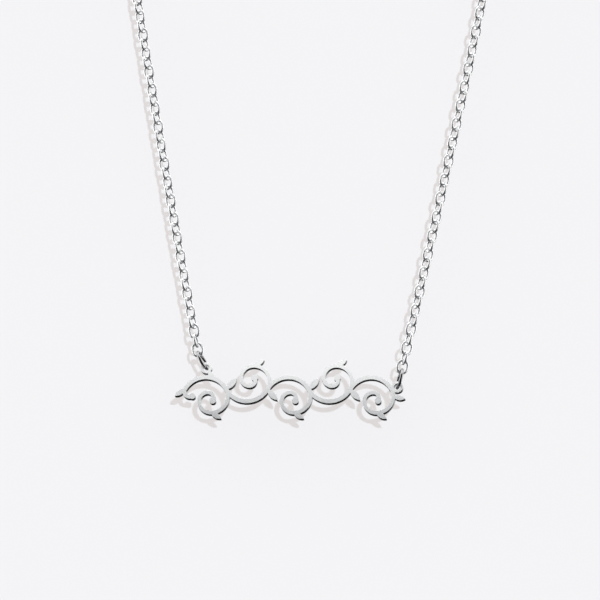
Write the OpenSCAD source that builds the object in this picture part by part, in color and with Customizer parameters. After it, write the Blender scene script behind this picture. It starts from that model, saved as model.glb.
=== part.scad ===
// Nameplate necklace: a flat cut-out plate between two chains of oval links, hanging as on a neck.
// The loop lies in the upright XZ plane, its front faces -Y, and the origin is the middle of the nape.

/* [Nameplate] */
// Thickness of the sheet that the plate is cut from
plate_t = 1.4; // [0.8:0.1:1.6]
// Width of the vine's stem
stem_w = 0.9; // [0.8:0.05:1.1]
// Width of the vine's curls
curl_w = 0.8; // [0.7:0.05:0.9]
// Length of one half wave of the stem
wave = 8.75; // [8.4:0.05:9]
// Steepness of the stem where it crosses its middle line
steep = 62; // [56:1:66]

/* [Eyelets and jump rings] */
// Outer diameter of an eyelet
eyelet_d = 2.4; // [2.4:0.05:2.6]
// Hole of an eyelet
eyelet_hole = 1.4; // [1.35:0.05:1.45]
// Outer diameter of a jump ring
ring_d = 4.7; // [4.4:0.1:5]
// Wire of a jump ring
ring_wire = 0.65; // [0.5:0.05:0.65]
// Lean of the left jump ring from upright
lean_left = 27; // [20:1:36]
// Lean of the right jump ring from upright
lean_right = 11; // [5:1:30]
// Turn of the left jump ring about its own upright line, outward at the front
turn_left = 12; // [-10:1:16]
// Turn of the right jump ring, the same way
turn_right = 16; // [-10:1:16]

/* [Chains] */
// Length of a link
link_l = 3.38; // [3.2:0.02:3.6]
// Width of a link
link_w = 2.65; // [2.3:0.05:2.7]
// Wire of a link
link_wire = 0.58; // [0.48:0.02:0.6]
// Links of the left chain, an even number
links_left = 82; // [72:2:90]
// Links of the right chain, an odd number
links_right = 81; // [71:2:89]
// Lean of the left chain where it leaves its ring
tilt_left = 12; // [9:0.5:14]
// Lean of the right chain where it leaves its ring
tilt_right = 11.3; // [9:0.1:14]
// Turn of each chain's sag between its ring and the nape curve
bow = 2; // [0.5:0.5:3]
// Turn of the left chain's links about the chain, outward at the front
chain_turn_left = 33; // [0:1:45]
// Turn of the right chain's links, the same way
chain_turn_right = 43; // [0:1:45]

/* [Clasp] */
// Length of the clasp
clasp_l = 9.6; // [9:0.2:11]
// Width of the clasp
clasp_w = 4.6; // [4:0.2:5]
// Thickness of the clasp
clasp_t = 1.6; // [1.2:0.1:1.8]

/* [Hidden] */
$fn = 48;

// Room left between wires that hang in each other
gap = 0.12;
// Narrow cut of a jump ring and its place, in degrees
ring_cut = 2.4;
ring_cut_at = 60;
// How far one link turns out of the plain quarter turns, at most, and how fast this changes
wobble = 6;
wobble_step = 77;
// Links at each end of a chain over which its turn comes and goes
twist_links = 4;

// Columns of the stroke tables below
RADIUS = 0;
TURN = 1;
// The stem is half waves that bend right and left by turns
wave_r = wave / 2 / sin(steep);
waves = 5;
stem = [for (i = [1:waves]) [wave_r, (i % 2 == 0 ? 2 : -2) * steep]];
// Each curl goes on from the end of a half wave and winds up inside it: radius, turn to the right
curl = [
  [3.5, -118],
  [2.6, -90],
  [1.85, -90],
  [1.2, -120],
];
// The stem's first end winds into a small foot: radius, turn to the left
foot = [
  [1.15, 150],
];
curl_ball = 1.4;
foot_ball = 1.3;
// A pointed leaf grows where two half waves meet, and a smaller one from each curl and each end
leaf_l = 3.2;
leaf_w = 1.35;
leaf_turn = 14;
curl_leaf_turn = 150;
foot_leaf_turn = 215;
tail_leaf_turn = -10;
past_tail = [0.4, -1.6];
small_leaf = 0.8;
// The left eyelet stands above the first crest, on a small leaf at its right
eyelet_rise = 0.4;
neck_leaf_turn = -50;
past_eyelet = [0.35, -0.62];

// Places in the plate's own frame, which starts at the stem's first end
crest = wave_r * (1 - cos(steep));
stem_end = [waves * wave, 0];
past_stem = [1.2, 0.5];
eyelet_left = [wave / 2, crest + (stem_w + eyelet_d) / 2 + eyelet_rise];
eyelet_right = stem_end + past_stem;

ring_r = (ring_d - ring_wire) / 2;
link_r = (link_w - link_wire) / 2;
pitch = link_l - 2 * link_wire - gap;
// From the middle of an eyelet to the wire of the link that carries its ring
ring_reach = 2 * ring_r - (ring_wire + link_wire) / 2 - gap;

clasp_rim = 0.9;
clasp_neck_r = 1.3;
clasp_overlap = 0.55;
// The narrow end of the clasp's hollow, counted from the middle of its neck
hollow_back = 1.5;
hollow_r = 0.7;
eye_d = 2.6;
eye_hole = 1.4;
eye_t = 0.75;
eye_rim = (eye_d - eye_hole) / 2;
// From the last wire of the left chain to the outer end of the clasp's eye
eye_back = link_wire / 2 + eye_rim + gap;
// From that wire to the middle of the end ring, and on to the last wire of the right chain
end_ring_x = clasp_l - eye_back - clasp_rim - ring_wire / 2 - gap + ring_r;
nape_span = end_ring_x + ring_r - (ring_wire + link_wire) / 2 - gap;

// Step of length s while the lean goes from t0 to t1: outward, upward
function slack(turn) = abs(turn) < 0.001 ? 1 : sin(turn / 2) / (turn * PI / 360);
function step(s, t0, t1) = s * slack(t0 - t1) * [sin((t0 + t1) / 2), cos((t0 + t1) / 2)];
function mirrored(side, p) = [side * p.x, p.y];

// Each side goes up from its ring with a slight sag, then round the nape to the middle
LEFT = -1;
RIGHT = 1;
function lean_at_ring(side) = side == LEFT ? tilt_left : tilt_right;
function lean_at_nape(side) = lean_at_ring(side) - bow;
function upward(side, lean) = mirrored(side, [sin(lean), cos(lean)]);
function ring_lean(side) = side == LEFT ? lean_left : lean_right;
function ring_turn(side) = side * (side == LEFT ? turn_left : turn_right);
function chain_turn(side) = side * (side == LEFT ? chain_turn_left : chain_turn_right);
function eyelet(side) = side == LEFT ? [0, 0] : eyelet_right - eyelet_left;
// The ring hangs in the round end of the first link, whose wire starts at its lowest point
function hung_at(side) = eyelet(side) + ring_reach * upward(side, ring_lean(side));
function first_wire(side) =
  hung_at(side) + link_r * (upward(side, ring_lean(side)) - upward(side, lean_at_ring(side)));
function chain_l(links) = link_l - link_wire + (links - 1) * pitch;

// The two straight lengths that let both sides meet over a nape curve of radius r
function side_lengths(r) =
  let (a = step(1, lean_at_ring(LEFT), lean_at_nape(LEFT)))
  let (b = step(1, lean_at_ring(RIGHT), lean_at_nape(RIGHT)))
  let (over_a = step(r * nape_turn(LEFT), lean_at_nape(LEFT), -90))
  let (over_b = step(r * nape_turn(RIGHT), lean_at_nape(RIGHT), -90))
  let (wide = first_wire(LEFT).x - first_wire(RIGHT).x - over_a.x - over_b.x)
  let (high = first_wire(RIGHT).y - first_wire(LEFT).y - over_a.y + over_b.y)
  let (d = a.x * b.y + b.x * a.y)
  [(wide * b.y + high * b.x) / d, (wide * a.y - high * a.x) / d];
function nape_turn(side) = (90 + lean_at_nape(side)) * PI / 180;
function spare(r) =
  side_lengths(r)[0] + side_lengths(r)[1] + r * (nape_turn(LEFT) + nape_turn(RIGHT))
  - chain_l(links_left) - chain_l(links_right) - nape_span;

// The spare length grows evenly with the radius, so two trial radii give the one that fits
nape_r = spare(0) / (spare(0) - spare(1));
function side_l(side) = side_lengths(nape_r)[side == LEFT ? 0 : 1];

function lean_at(side, s) =
  s < side_l(side) ? lean_at_ring(side) - bow * s / side_l(side)
  : lean_at_nape(side) - (s - side_l(side)) / nape_r * 180 / PI;
function spot(side, s) =
  s < side_l(side) ? first_wire(side) + mirrored(side, step(s, lean_at_ring(side), lean_at(side, s)))
  : first_wire(side)
    + mirrored(side, step(side_l(side), lean_at_ring(side), lean_at_nape(side)))
    + mirrored(side, step(s - side_l(side), lean_at_nape(side), lean_at(side, s)));
nape = spot(LEFT, side_l(LEFT) + nape_r * nape_turn(LEFT));

// Puts a flat drawing, or a piece built upright, at a place counted from the left eyelet
module at(p, lean = 0) {
  translate([p.x - nape.x, 0, p.y - nape.y]) rotate([0, lean, 0]) children();
}

// Part of a flat ring, cut out by a wedge that reaches well past it
module ring_arc(r, w, from, turn) {
  reach = 3 * r;
  intersection() {
    difference() {
      circle(r + w / 2);
      circle(r - w / 2);
    }
    polygon([[0, 0], for (i = [0:4]) reach * [cos(from + turn * i / 4), sin(from + turn * i / 4)]]);
  }
}

// One bend of a stroke: it starts at the origin along +X and turns left, or right where turn < 0
module bend(r, turn, w) {
  side = sign(turn);
  translate([0, side * r]) ring_arc(r, w, -90 * side, turn);
}

// Place and heading after n bends
function reached(rows, n, p = [0, 0], heading = 0) =
  n == 0 ? [p.x, p.y, heading]
  : let (before = reached(rows, n - 1, p, heading))
    let (r = rows[n - 1][RADIUS])
    let (turn = rows[n - 1][TURN])
    let (h = before[2] + turn / 2)
    let (chord = 2 * r * sin(abs(turn) / 2))
    [before.x + chord * cos(h), before.y + chord * sin(h), before[2] + turn];

module stroke(rows, w, heading) {
  for (i = [0:len(rows) - 1]) {
    q = reached(rows, i, heading = heading);
    translate([q.x, q.y]) rotate(q[2]) {
      bend(rows[i][RADIUS], rows[i][TURN], w);
      circle(d = w);
    }
  }
}

module leaf() {
  half = leaf_l / 2;
  rise = leaf_w / 2;
  r = (half * half + rise * rise) / (2 * rise);
  intersection() {
    translate([half, r - rise]) circle(r, $fn = 96);
    translate([half, rise - r]) circle(r, $fn = 96);
  }
}

module small_leaf_at(p, turn) {
  translate([p.x, p.y]) rotate(turn) scale(small_leaf) leaf();
}

module curl_here() {
  stroke(curl, curl_w, -steep);
  half = reached(curl, 1, heading = -steep);
  small_leaf_at(half, half[2] + curl_leaf_turn);
  q = reached(curl, len(curl), heading = -steep);
  translate([q.x, q.y]) circle(d = curl_ball);
}

module vine() {
  stroke(stem, stem_w, steep);
  stroke(foot, curl_w, steep + 180);
  q = reached(foot, len(foot), heading = steep + 180);
  translate([q.x, q.y]) circle(d = foot_ball);
  for (i = [1:waves]) {
    translate([i * wave, 0]) mirror([0, (i + 1) % 2]) {
      curl_here();
      if (i < waves) rotate(steep - leaf_turn) leaf();
    }
  }
  small_leaf_at([0, 0], foot_leaf_turn);
  small_leaf_at(stem_end + past_tail, tail_leaf_turn);
  small_leaf_at(eyelet_left + past_eyelet, neck_leaf_turn);
}

module nameplate() {
  color("#d9d9dc") at([0, 0]) rotate([90, 0, 0]) linear_extrude(plate_t, center = true)
    difference() {
      translate(-eyelet_left) {
        vine();
        for (p = [eyelet_left, eyelet_right]) translate(p) circle(d = eyelet_d);
      }
      for (side = [LEFT, RIGHT]) translate(eyelet(side)) circle(d = eyelet_hole);
    }
}

// A jump ring seen edge-on, with its middle at the origin and a narrow cut at the back
module jump_ring() {
  rotate([0, 90, 0]) rotate([0, 0, ring_cut_at]) rotate_extrude(angle = 360 - ring_cut)
    translate([ring_r, 0]) circle(d = ring_wire, $fn = 24);
}

module hung_ring(side) {
  at(eyelet(side) + ring_r * upward(side, ring_lean(side)), side * ring_lean(side))
    rotate([0, 0, ring_turn(side)]) jump_ring();
}

module ring_left() {
  color("#b8b8bc") hung_ring(LEFT);
}

module ring_right() {
  color("#b8b8bc") hung_ring(RIGHT);
}

// An upright oval link: two half rings joined by two straight wires
module link() {
  straight = link_l - link_w;
  for (end = [-1, 1])
    translate([0, 0, end * straight / 2]) rotate([90, 0, 0]) rotate([0, 0, end < 0 ? 180 : 0])
      rotate_extrude(angle = 180) translate([link_r, 0]) circle(d = link_wire, $fn = 24);
  for (x = [-link_r, link_r])
    translate([x, 0, -straight / 2]) cylinder(d = link_wire, h = straight, $fn = 24);
}

// The first link faces its jump ring squarely, and the last one faces the viewer
function link_turn(side, i, links) =
  let (from_ring = min(1, i / twist_links))
  let (from_nape = min(1, (links - 1 - i) / twist_links))
  from_nape * (ring_turn(side) * (1 - from_ring) + chain_turn(side) * from_ring);

module chain(side, links) {
  for (i = [0:links - 1]) {
    s = (link_l - link_wire) / 2 + i * pitch;
    turn = link_turn(side, i, links) + 90 * (i % 2) + wobble * sin(i * wobble_step);
    at(spot(side, s), side * lean_at(side, s)) rotate([0, 0, turn]) link();
  }
}

module chain_left() {
  color("#c4c4c8") chain(LEFT, links_left);
}

module chain_right() {
  color("#c4c4c8") chain(RIGHT, links_right);
}

// The clasp and its ring lie along the line between the last wires of the two chains
last_left = spot(LEFT, chain_l(links_left));
last_right = spot(RIGHT, chain_l(links_right));
nape_slope = atan2(last_right.y - last_left.y, last_right.x - last_left.x);

// Two circles on one line, filled out to their common tangents
module pear(x1, r1, x2, r2) {
  a = acos((r1 - r2) / (x2 - x1));
  translate([x1, 0]) circle(r1);
  translate([x2, 0]) circle(r2);
  polygon([
    [x1 + r1 * cos(a), r1 * sin(a)],
    [x2 + r2 * cos(a), r2 * sin(a)],
    [x2 + r2 * cos(a), -r2 * sin(a)],
    [x1 + r1 * cos(a), -r1 * sin(a)],
  ]);
}

module clasp() {
  tip = clasp_l - eye_back;
  wide_x = tip - clasp_w / 2;
  neck_x = eye_d - eye_back + clasp_neck_r - clasp_overlap;
  color("#bcbcc0") at(last_left, -nape_slope) rotate([90, 0, 0]) {
    linear_extrude(clasp_t, center = true) difference() {
      pear(neck_x, clasp_neck_r, wide_x, clasp_w / 2);
      pear(neck_x + hollow_back, hollow_r, wide_x, clasp_w / 2 - clasp_rim);
    }
    linear_extrude(eye_t, center = true) translate([eye_d / 2 - eye_back, 0]) difference() {
      circle(d = eye_d);
      circle(d = eye_hole);
    }
  }
}

module end_ring() {
  color("#b8b8bc") at(last_left, -nape_slope) translate([end_ring_x, 0, 0])
    rotate([0, 90, 0]) jump_ring();
}

nameplate();
ring_left();
ring_right();
chain_left();
chain_right();
clasp();
end_ring();
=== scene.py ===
import math

import bmesh
import bpy
from mathutils import Matrix, Vector


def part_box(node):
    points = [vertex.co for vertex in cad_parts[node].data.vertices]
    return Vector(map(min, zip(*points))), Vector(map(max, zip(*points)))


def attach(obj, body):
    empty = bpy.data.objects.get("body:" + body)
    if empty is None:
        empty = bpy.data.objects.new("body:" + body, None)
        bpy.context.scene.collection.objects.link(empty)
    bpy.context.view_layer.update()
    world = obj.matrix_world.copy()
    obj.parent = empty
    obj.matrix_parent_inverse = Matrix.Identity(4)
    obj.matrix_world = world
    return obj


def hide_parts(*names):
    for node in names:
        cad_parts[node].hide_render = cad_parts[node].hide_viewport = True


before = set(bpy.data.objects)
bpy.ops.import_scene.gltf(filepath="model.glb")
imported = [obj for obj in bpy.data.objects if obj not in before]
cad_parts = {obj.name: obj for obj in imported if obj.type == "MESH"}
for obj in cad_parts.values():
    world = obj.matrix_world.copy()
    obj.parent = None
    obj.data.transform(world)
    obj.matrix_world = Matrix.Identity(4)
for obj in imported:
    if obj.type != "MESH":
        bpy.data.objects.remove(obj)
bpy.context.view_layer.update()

mm = 0.001  # sizes and places in the dictionaries are in millimetres, and angles in degrees
scene = bpy.context.scene


# Camera: a long lens from below and a little to the right, rolled so that the world's X stays level
cameraSettings = {
    "azimuth": 6.0,
    "elevation": -16.5,
    "distance": 1800,
    "target": (-0.04, 0, -137.45),
    "imageWidth": 600,
    "pixelsPerMm": 4.73,
    "sensorWidth": 36.0,
    "clipEnd": 20000,
}


def makeCamera(settings):
    azimuth = math.radians(settings["azimuth"])
    elevation = math.radians(settings["elevation"])
    back = Vector((
        math.sin(azimuth) * math.cos(elevation),
        -math.cos(azimuth) * math.cos(elevation),
        math.sin(elevation),
    ))
    right = Vector((math.cos(azimuth), math.sin(azimuth), 0))
    up = back.cross(right)
    roll = math.atan2(up.x, right.x)
    right, up = (
        right * math.cos(roll) + up * math.sin(roll),
        up * math.cos(roll) - right * math.sin(roll),
    )
    place = (Vector(settings["target"]) + back * settings["distance"]) * mm
    viewWidth = settings["imageWidth"] / settings["pixelsPerMm"]
    data = bpy.data.cameras.new("photoCamera")
    data.sensor_width = settings["sensorWidth"]
    data.lens = settings["sensorWidth"] * settings["distance"] / viewWidth
    data.clip_end = settings["clipEnd"] * mm
    camera = bpy.data.objects.new("photoCamera", data)
    camera.matrix_world = Matrix.Translation(place) @ Matrix((right, up, back)).transposed().to_4x4()
    scene.collection.objects.link(camera)
    scene.camera = camera


makeCamera(cameraSettings)
print("camera placed")


# Small helpers for meshes, materials and places
def finishMesh(bm, name, materials):
    mesh = bpy.data.meshes.new(name)
    bm.to_mesh(mesh)
    bm.free()
    for material in materials:
        mesh.materials.append(material)
    piece = bpy.data.objects.new(name, mesh)
    scene.collection.objects.link(piece)
    return piece


def smoothByAngle(piece, degrees):
    piece.data.shade_smooth()
    piece.data.set_sharp_from_angle(angle=math.radians(degrees))


def addNode(tree, kind, **values):
    node = tree.nodes.new(kind)
    for key, value in values.items():
        setattr(node, key, value)
    return node


def nodeMiddle(node):
    lowest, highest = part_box(node)
    return (lowest + highest) / 2


# Two noises on every steel: a fine grain and a broad cloud of handling marks
noiseSettings = {
    "grainDetail": 4.0,
    "cloudDetail": 2.0,
    "bothRange": (0.6, 1.4),  # where the two together lie on most of a surface
}


def makeSteel(name, look, noise):
    material = bpy.data.materials.new(name)
    material.use_nodes = True
    tree = material.node_tree
    link = tree.links.new
    shader = tree.nodes["Principled BSDF"]
    shader.inputs["Metallic"].default_value = look["metallic"]
    place = addNode(tree, "ShaderNodeTexCoord").outputs["Object"]

    grainSpace = addNode(tree, "ShaderNodeMapping")  # stretches the grain along the brushing
    grainSpace.inputs["Scale"].default_value = look["grainScale"]
    link(place, grainSpace.inputs["Vector"])
    grain = addNode(tree, "ShaderNodeTexNoise")
    grain.inputs["Scale"].default_value = 1.0
    grain.inputs["Detail"].default_value = noise["grainDetail"]
    link(grainSpace.outputs["Vector"], grain.inputs["Vector"])

    cloud = addNode(tree, "ShaderNodeTexNoise")
    cloud.inputs["Scale"].default_value = look["cloudScale"]
    cloud.inputs["Detail"].default_value = noise["cloudDetail"]
    link(place, cloud.inputs["Vector"])

    tone = addNode(tree, "ShaderNodeMapRange")
    tone.inputs["To Min"].default_value = 1 - look["toneSpread"]
    tone.inputs["To Max"].default_value = 1 + look["toneSpread"]
    link(cloud.outputs["Fac"], tone.inputs["Value"])
    colour = addNode(tree, "ShaderNodeVectorMath", operation="SCALE")
    colour.inputs[0].default_value = look["colour"]
    link(tone.outputs["Result"], colour.inputs["Scale"])
    link(colour.outputs["Vector"], shader.inputs["Base Color"])

    both = addNode(tree, "ShaderNodeMath", operation="ADD")
    link(grain.outputs["Fac"], both.inputs[0])
    link(cloud.outputs["Fac"], both.inputs[1])
    rough = addNode(tree, "ShaderNodeMapRange")
    rough.inputs["From Min"].default_value = noise["bothRange"][0]
    rough.inputs["From Max"].default_value = noise["bothRange"][1]
    rough.inputs["To Min"].default_value = look["roughness"][0]
    rough.inputs["To Max"].default_value = look["roughness"][1]
    link(both.outputs["Value"], rough.inputs["Value"])
    link(rough.outputs["Result"], shader.inputs["Roughness"])

    bump = addNode(tree, "ShaderNodeBump")
    bump.inputs["Strength"].default_value = look["bump"]
    bump.inputs["Distance"].default_value = look["bumpDepth"] * mm
    link(grain.outputs["Fac"], bump.inputs["Height"])
    link(bump.outputs["Normal"], shader.inputs["Normal"])
    return material


# Steel finishes. The noise scales count per metre
faceLook = {
    "metallic": 0.9,
    "colour": (0.93, 0.925, 0.92),
    "toneSpread": 0.05,
    "roughness": (0.36, 0.46),
    "grainScale": (900, 9000, 9000),
    "cloudScale": 220,
    "bump": 0.15,
    "bumpDepth": 0.004,
}
shoulderLook = dict(faceLook, roughness=(0.26, 0.36))
edgeLook = {
    "metallic": 1.0,
    "colour": (0.62, 0.62, 0.63),
    "toneSpread": 0.06,
    "roughness": (0.16, 0.26),
    "grainScale": (2500, 500, 2500),
    "cloudScale": 500,
    "bump": 0.2,
    "bumpDepth": 0.004,
}
wireLook = {
    "metallic": 0.96,
    "colour": (0.92, 0.92, 0.925),
    "toneSpread": 0.07,
    "roughness": (0.24, 0.36),
    "grainScale": (2500, 2500, 2500),
    "cloudScale": 400,
    "bump": 0.12,
    "bumpDepth": 0.003,
}
# The jump rings are the chain's steel painted darker: painted shade for the dark reflections along their
# wire
ringShadedLook = dict(wireLook, metallic=1.0, colour=(0.42, 0.42, 0.43), roughness=(0.05, 0.12))
claspLook = dict(wireLook, metallic=0.9, roughness=(0.14, 0.24))

faceSteel = makeSteel("satinFace", faceLook, noiseSettings)
shoulderSteel = makeSteel("smoothShoulder", shoulderLook, noiseSettings)
edgeSteel = makeSteel("cutEdge", edgeLook, noiseSettings)
chainSteel = makeSteel("chainWire", wireLook, noiseSettings)
ringShadedSteel = makeSteel("ringWireShaded", ringShadedLook, noiseSettings)
claspSteel = makeSteel("claspPolish", claspLook, noiseSettings)
print("finishes made")


# Chains and jump rings, with the same sizes as the solids
linkSettings = {
    "length": 3.38,
    "width": 2.65,
    "wire": 0.58,
    "gap": 0.12,
    "wireSides": 8,
    "bendSteps": 6,
    "twistLinks": 4,  # links at each end over which the chain turns
    "wobble": 6,  # how far a link turns out of the plain quarter turns, at most
    "wobbleStep": 77,
    "mergeWithin": 0.001,
}
ringSettings = {
    "outer": 4.7,
    "wire": 0.65,
    "cut": 2.4,
    "cutAt": 60,
    "wireSides": 14,
    "steps": 48,
    "endBevel": 0.05,
    "bevelSegments": 2,
    "sharpAngle": 50,
}
# Leans count outward from upright, and turns outward at the front
chainRuns = {
    "left": {
        "side": -1, "links": 82, "lean": 12.0, "turn": 33,
        "ring": "ring_left", "ringLean": 27, "ringTurn": 12,
    },
    "right": {
        "side": 1, "links": 81, "lean": 11.3, "turn": 43,
        "ring": "ring_right", "ringLean": 11, "ringTurn": 16,
    },
}
sag = 2.0  # how far each side bends in before the nape


def upward(run, lean):
    return Vector((run["side"] * math.sin(math.radians(lean)), math.cos(math.radians(lean))))


# Step outward and upward while the lean changes evenly
def pathStep(length, leanFrom, leanTo):
    half = math.radians(leanFrom - leanTo) / 2
    chord = length * (math.sin(half) / half if abs(half) > 1e-6 else 1)
    middle = math.radians(leanFrom + leanTo) / 2
    return Vector((chord * math.sin(middle), chord * math.cos(middle)))


# The first link hangs in its jump ring. From there the path goes up and then round the nape to the
# origin, and the way home gives the length of the one and the radius of the other
def layRun(run, link, ring):
    ringRadius = (ring["outer"] - ring["wire"]) / 2
    linkRadius = (link["width"] - link["wire"]) / 2
    ringInner = ringRadius - (ring["wire"] + link["wire"]) / 2 - link["gap"]
    start = nodeMiddle(run["ring"]).xz / mm + (ringInner + linkRadius) * upward(run, run["ringLean"])
    start -= linkRadius * upward(run, run["lean"])
    upper = run["lean"] - sag
    along = pathStep(1, run["lean"], upper)
    around = pathStep(math.radians(90 + upper), upper, -90)
    home = Vector((-run["side"] * start.x, -start.y))
    run["start"] = start
    run["straight"] = home.cross(around) / along.cross(around)
    run["napeRadius"] = along.cross(home) / along.cross(around)


# Place and lean on a chain at a distance from its ring
def pathSpot(run, distance):
    straight = run["straight"]
    upper = run["lean"] - sag
    along = min(distance, straight)
    lean = run["lean"] - sag * along / straight
    moved = pathStep(along, run["lean"], lean)
    if distance > straight:
        lean = upper - math.degrees((distance - straight) / run["napeRadius"])
        moved += pathStep(distance - straight, upper, lean)
    x = run["start"].x + run["side"] * moved.x
    return Vector((x, 0, run["start"].y + moved.y)) * mm, lean


def makeLink(settings):
    radius = (settings["width"] - settings["wire"]) / 2 * mm
    straight = (settings["length"] - settings["width"]) * mm
    bm = bmesh.new()
    bmesh.ops.create_circle(
        bm, cap_ends=False, segments=settings["wireSides"], radius=settings["wire"] / 2 * mm,
        matrix=Matrix.Translation((radius, 0, 0)),
    )
    bmesh.ops.spin(
        bm, geom=bm.verts[:] + bm.edges[:], cent=(0, 0, 0), axis=(0, -1, 0),
        angle=math.pi, steps=settings["bendSteps"], use_merge=False,
    )
    bmesh.ops.translate(bm, verts=bm.verts[:], vec=(0, 0, straight / 2))
    ends = [edge for edge in bm.edges if edge.is_boundary]
    drawn = bmesh.ops.extrude_edge_only(bm, edges=ends)
    lower = [item for item in drawn["geom"] if isinstance(item, bmesh.types.BMVert)]
    bmesh.ops.translate(bm, verts=lower, vec=(0, 0, -straight / 2))
    mergeWithin = settings["mergeWithin"] * mm
    half = bm.verts[:] + bm.edges[:] + bm.faces[:]
    bmesh.ops.mirror(bm, geom=half, merge_dist=mergeWithin, axis="Z")
    bmesh.ops.remove_doubles(bm, verts=bm.verts[:], dist=mergeWithin)
    bmesh.ops.recalc_face_normals(bm, faces=bm.faces[:])
    mesh = bpy.data.meshes.new("oneLink")
    bm.to_mesh(mesh)
    bm.free()
    return mesh


def linkPitch(link):
    return link["length"] - 2 * link["wire"] - link["gap"]


# The first link faces its jump ring squarely, and the last one faces the viewer
def linkTurn(run, settings, index):
    fromRing = min(1, index / settings["twistLinks"])
    fromNape = min(1, (run["links"] - 1 - index) / settings["twistLinks"])
    return run["side"] * fromNape * (run["ringTurn"] * (1 - fromRing) + run["turn"] * fromRing)


def makeChain(name, node, run, settings, oneLink):
    firstMiddle = (settings["length"] - settings["wire"]) / 2
    bm = bmesh.new()
    for index in range(run["links"]):
        place, lean = pathSpot(run, firstMiddle + index * linkPitch(settings))
        turn = linkTurn(run, settings, index) + 90 * (index % 2)
        turn += settings["wobble"] * math.sin(math.radians(index * settings["wobbleStep"]))
        known = len(bm.verts)
        bm.from_mesh(oneLink)
        bm.verts.ensure_lookup_table()
        bmesh.ops.transform(
            bm, verts=bm.verts[known:],
            matrix=Matrix.Translation(place)
            @ Matrix.Rotation(math.radians(run["side"] * lean), 4, "Y")
            @ Matrix.Rotation(math.radians(turn), 4, "Z"),
        )
    piece = finishMesh(bm, name, [chainSteel])
    piece.data.shade_smooth()
    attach(piece, "necklace")
    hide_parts(node)
    return piece


for run in chainRuns.values():
    layRun(run, linkSettings, ringSettings)
oneLink = makeLink(linkSettings)
chainLeft = makeChain("cable_chain_left", "chain_left", chainRuns["left"], linkSettings, oneLink)
chainRight = makeChain("cable_chain_right", "chain_right", chainRuns["right"], linkSettings, oneLink)
bpy.data.meshes.remove(oneLink)
print("chains made")


# A jump ring is a bent wire whose ends almost meet
def makeRing(name, node, body, settings, axisTurn):
    radius = (settings["outer"] - settings["wire"]) / 2 * mm
    bm = bmesh.new()
    bmesh.ops.create_circle(
        bm, cap_ends=True, segments=settings["wireSides"], radius=settings["wire"] / 2 * mm,
        matrix=Matrix.Translation((radius, 0, 0)) @ Matrix.Rotation(math.pi / 2, 4, "X"),
    )
    bmesh.ops.spin(
        bm, geom=bm.verts[:] + bm.edges[:] + bm.faces[:], cent=(0, 0, 0), axis=(0, 0, 1),
        angle=math.radians(360 - settings["cut"]), steps=settings["steps"], use_merge=False,
    )
    # the rims of the wire's two flat ends, which alone have more than four corners
    rims = [edge for edge in bm.edges if any(len(face.verts) > 4 for face in edge.link_faces)]
    bmesh.ops.bevel(
        bm, geom=rims, offset=settings["endBevel"] * mm, segments=settings["bevelSegments"],
        profile=0.5, affect="EDGES", material=-1,
    )
    bmesh.ops.recalc_face_normals(bm, faces=bm.faces[:])
    bmesh.ops.transform(
        bm, verts=bm.verts[:],
        matrix=Matrix.Translation(nodeMiddle(node)) @ axisTurn
        @ Matrix.Rotation(math.pi / 2, 4, "Y")
        @ Matrix.Rotation(math.radians(settings["cutAt"]), 4, "Z"),
    )
    piece = finishMesh(bm, name, [ringShadedSteel])
    smoothByAngle(piece, settings["sharpAngle"])
    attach(piece, body)
    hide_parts(node)


def leanTurn(lean, turn=0):
    return Matrix.Rotation(math.radians(lean), 4, "Y") @ Matrix.Rotation(math.radians(turn), 4, "Z")


def hungTurn(run):
    return leanTurn(run["side"] * run["ringLean"], run["side"] * run["ringTurn"])


def lastWire(run, link):
    place, lean = pathSpot(run, link["length"] - link["wire"] + (run["links"] - 1) * linkPitch(link))
    return place


makeRing("jump_ring_left", "ring_left", "pendant", ringSettings, hungTurn(chainRuns["left"]))
makeRing("jump_ring_right", "ring_right", "pendant", ringSettings, hungTurn(chainRuns["right"]))
# The clasp and its ring lie along the line between the two chains' last wires
acrossNape = lastWire(chainRuns["right"], linkSettings) - lastWire(chainRuns["left"], linkSettings)
claspSlope = math.degrees(math.atan2(acrossNape.z, acrossNape.x))
makeRing("clasp_ring", "end_ring", "necklace", ringSettings, leanTurn(90 - claspSlope))
print("jump rings made")


# Flat pieces: a clean copy of the solid with softly rounded edges
roundingSettings = {
    "mergeWithin": 0.002,
    "flatAngle": 0.5,  # faces that meet at less than this are joined into one
    "rimAngle": 60,  # edges where faces meet at more than this are rounded
    "squareOn": 0.5,  # how squarely a face looks to the front or the back to be the flat of the sheet
    "segments": 3,
    "sharpAngle": 40,
    "normalWeight": 100,  # keeps the flat faces' shading flat
}
plateSettings = dict(roundingSettings, frontBevel=0.1, backBevel=0.05)
claspSettings = dict(roundingSettings, frontBevel=0.15, backBevel=0.15)


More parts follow.
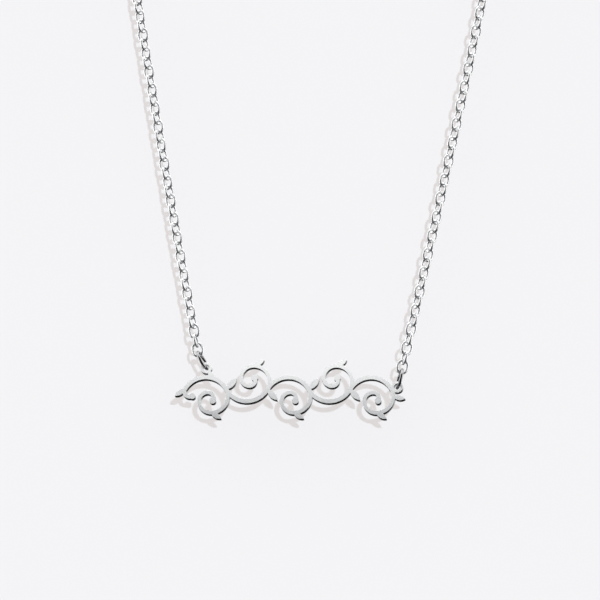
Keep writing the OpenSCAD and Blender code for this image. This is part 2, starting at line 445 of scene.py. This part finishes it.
# Materials are given from the flat face to the cut edge
def makeFlatPiece(name, node, body, settings, materials):
    bm = bmesh.new()
    bm.from_mesh(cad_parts[node].data)
    bmesh.ops.remove_doubles(bm, verts=bm.verts[:], dist=settings["mergeWithin"] * mm)
    bmesh.ops.dissolve_limit(
        bm, angle_limit=math.radians(settings["flatAngle"]), use_dissolve_boundaries=False,
        verts=bm.verts[:], edges=bm.edges[:],
    )
    squareOn = settings["squareOn"]
    for face in bm.faces:
        face.material_index = 0 if abs(face.normal.y) > squareOn else len(materials) - 1
    for direction, width in ((-1, settings["frontBevel"]), (1, settings["backBevel"])):
        rim = [
            edge for edge in bm.edges
            if len(edge.link_faces) == 2
            and edge.calc_face_angle(0) > math.radians(settings["rimAngle"])
            and any(face.normal.y * direction > squareOn for face in edge.link_faces)
        ]
        rounded = bmesh.ops.bevel(
            bm, geom=rim, offset=width * mm, segments=settings["segments"], profile=0.5,
            affect="EDGES", material=-1, clamp_overlap=True,
        )
        for face in rounded["faces"]:
            face.material_index = len(materials) // 2
    piece = finishMesh(bm, name, materials)
    smoothByAngle(piece, settings["sharpAngle"])
    evened = piece.modifiers.new("evenedNormals", "WEIGHTED_NORMAL")
    evened.keep_sharp = True
    evened.weight = settings["normalWeight"]
    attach(piece, body)
    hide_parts(node)
    return piece


plate = makeFlatPiece(
    "name_plate", "nameplate", "pendant", plateSettings,
    [faceSteel, shoulderSteel, edgeSteel],
)
clasp = makeFlatPiece("clasp_body", "clasp", "necklace", claspSettings, [claspSteel])
print("plate and clasp made")


# Backdrop close behind, clear of the plate's swing, and floor far below
stageSettings = {
    "wallY": 10.0,
    "wallHalf": 900,
    "floorZ": -760,
    "floorHalf": 4000,
    "colour": (0.2415, 0.2334, 0.230, 1),
    "glow": (0.526, 0.504, 0.501, 1),  # lit from behind, which keeps the shadows faint
    "roughness": 0.9,
    "specular": 0.1,
}


def makeStagePlane(name, half, matrix, material):
    bm = bmesh.new()
    bmesh.ops.create_grid(bm, x_segments=1, y_segments=1, size=half * mm, matrix=matrix)
    piece = finishMesh(bm, name, [material])
    piece.visible_glossy = False


def makePaper(name, settings):
    material = bpy.data.materials.new(name)
    material.use_nodes = True
    shader = material.node_tree.nodes["Principled BSDF"]
    shader.inputs["Base Color"].default_value = settings["colour"]
    shader.inputs["Emission Color"].default_value = settings["glow"]
    shader.inputs["Emission Strength"].default_value = 1.0
    shader.inputs["Roughness"].default_value = settings["roughness"]
    shader.inputs["Specular IOR Level"].default_value = settings["specular"]
    return material


# Seen from its back the paper is clear, so that it hides nothing in the views from behind
def clearFromBehind(material):
    tree = material.node_tree
    clear = addNode(tree, "ShaderNodeBsdfTransparent")
    mix = addNode(tree, "ShaderNodeMixShader")
    side = addNode(tree, "ShaderNodeNewGeometry")
    tree.links.new(side.outputs["Backfacing"], mix.inputs["Fac"])
    tree.links.new(tree.nodes["Principled BSDF"].outputs["BSDF"], mix.inputs[1])
    tree.links.new(clear.outputs["BSDF"], mix.inputs[2])
    tree.links.new(mix.outputs["Shader"], tree.nodes["Material Output"].inputs["Surface"])


wallPaper = makePaper("wallPaper", stageSettings)
clearFromBehind(wallPaper)
wallMatrix = Matrix.Translation((0, stageSettings["wallY"] * mm, 0)) @ Matrix.Rotation(math.pi / 2, 4, "X")
makeStagePlane("backdrop", stageSettings["wallHalf"], wallMatrix, wallPaper)
floorMatrix = Matrix.Translation((0, 0, stageSettings["floorZ"] * mm))
makeStagePlane("floor", stageSettings["floorHalf"], floorMatrix, makePaper("floorPaper", stageSettings))


# Light: a plain white surround, soft boxes that only the metal sees, and one small lamp for the shadow
surroundSettings = {
    "ambient": 0.995,  # seen by every ray but a reflection
    "metalSees": 0.02,  # between the soft boxes
    # a soft edge goes from the cosine where its box starts to the one where it is full
    "boxes": [
        {"towards": (-1.0, 0.2, 0.25), "softEdge": (0.68, 0.88), "brightness": 1.6},
        {"towards": (1.0, 0.2, 0.25), "softEdge": (0.68, 0.88), "brightness": 1.4},
        {"towards": (0.0, -0.1, 1.0), "softEdge": (0.68, 0.86), "brightness": 1.5},
        {"towards": (0.0, 1.0, 0.75), "softEdge": (0.72, 0.95), "brightness": 0.9},
    ],
}
shadowLampSettings = {
    "strength": 3.13,
    "colour": (0.71, 0.864, 0.985),
    "travel": (-0.2125, 1.0, 0.1105),
    "angle": 1.4,
}
# A soft panel in front of the plate alone, whose lower edge shades the face towards its foot
facePanelSettings = {
    "place": (-4, -40, -121),
    "size": (120, 50),
    "watts": 0.022,
}
# A wider one that only the chains and the clasp see, for a pale line along the front of each wire
wirePanelSettings = {
    "place": (-60, -420, 20),
    "size": (420, 160),
    "watts": 0.17,
}


def makeSurround(settings):
    world = bpy.data.worlds.new("studio")
    scene.world = world
    world.use_nodes = True
    tree = world.node_tree
    link = tree.links.new
    background = tree.nodes["Background"]
    direction = addNode(tree, "ShaderNodeTexCoord").outputs["Generated"]
    total = None
    for box in settings["boxes"]:
        facing = addNode(tree, "ShaderNodeVectorMath", operation="DOT_PRODUCT")
        link(direction, facing.inputs[0])
        facing.inputs[1].default_value = Vector(box["towards"]).normalized()
        glow = addNode(tree, "ShaderNodeMapRange", interpolation_type="SMOOTHSTEP")
        glow.inputs["From Min"].default_value = box["softEdge"][0]
        glow.inputs["From Max"].default_value = box["softEdge"][1]
        glow.inputs["To Max"].default_value = box["brightness"]
        link(facing.outputs["Value"], glow.inputs["Value"])
        add = addNode(tree, "ShaderNodeMath", operation="ADD")
        add.inputs[1].default_value = settings["metalSees"]
        link(glow.outputs["Result"], add.inputs[0])
        if total is not None:
            link(total, add.inputs[1])
        total = add.outputs["Value"]
    path = addNode(tree, "ShaderNodeLightPath")
    mix = addNode(tree, "ShaderNodeMix", data_type="FLOAT")
    link(path.outputs["Is Glossy Ray"], mix.inputs["Factor"])
    mix.inputs["A"].default_value = settings["ambient"]
    link(total, mix.inputs["B"])
    link(mix.outputs["Result"], background.inputs["Strength"])
    background.inputs["Color"].default_value = (1, 1, 1, 1)


def makeShadowLamp(settings):
    lamp = bpy.data.lights.new("shadowLamp", "SUN")
    lamp.energy = settings["strength"]
    lamp.color = settings["colour"]
    lamp.angle = math.radians(settings["angle"])
    sun = bpy.data.objects.new("shadowLamp", lamp)
    sun.visible_glossy = False
    sun.rotation_mode = "QUATERNION"
    sun.rotation_quaternion = Vector(settings["travel"]).to_track_quat("-Z", "Y")
    scene.collection.objects.link(sun)


# The panel shines towards +Y
def makePanel(name, settings, lit):
    lamp = bpy.data.lights.new(name, "AREA")
    lamp.shape = "RECTANGLE"
    lamp.size = settings["size"][0] * mm
    lamp.size_y = settings["size"][1] * mm
    lamp.energy = settings["watts"]
    panel = bpy.data.objects.new(name, lamp)
    panel.location = Vector(settings["place"]) * mm
    panel.rotation_euler = (math.pi / 2, 0, 0)
    panel.visible_camera = False
    panel.visible_diffuse = False
    scene.collection.objects.link(panel)
    receivers = bpy.data.collections.new(name + "Lights")
    for piece in lit:
        receivers.objects.link(piece)
    panel.light_linking.receiver_collection = receivers


makeSurround(surroundSettings)
makeShadowLamp(shadowLampSettings)
makePanel("facePanel", facePanelSettings, [plate])
makePanel("wirePanel", wirePanelSettings, [chainLeft, chainRight, clasp])
scene.view_settings.view_transform = "Standard"
print("stage and light set")
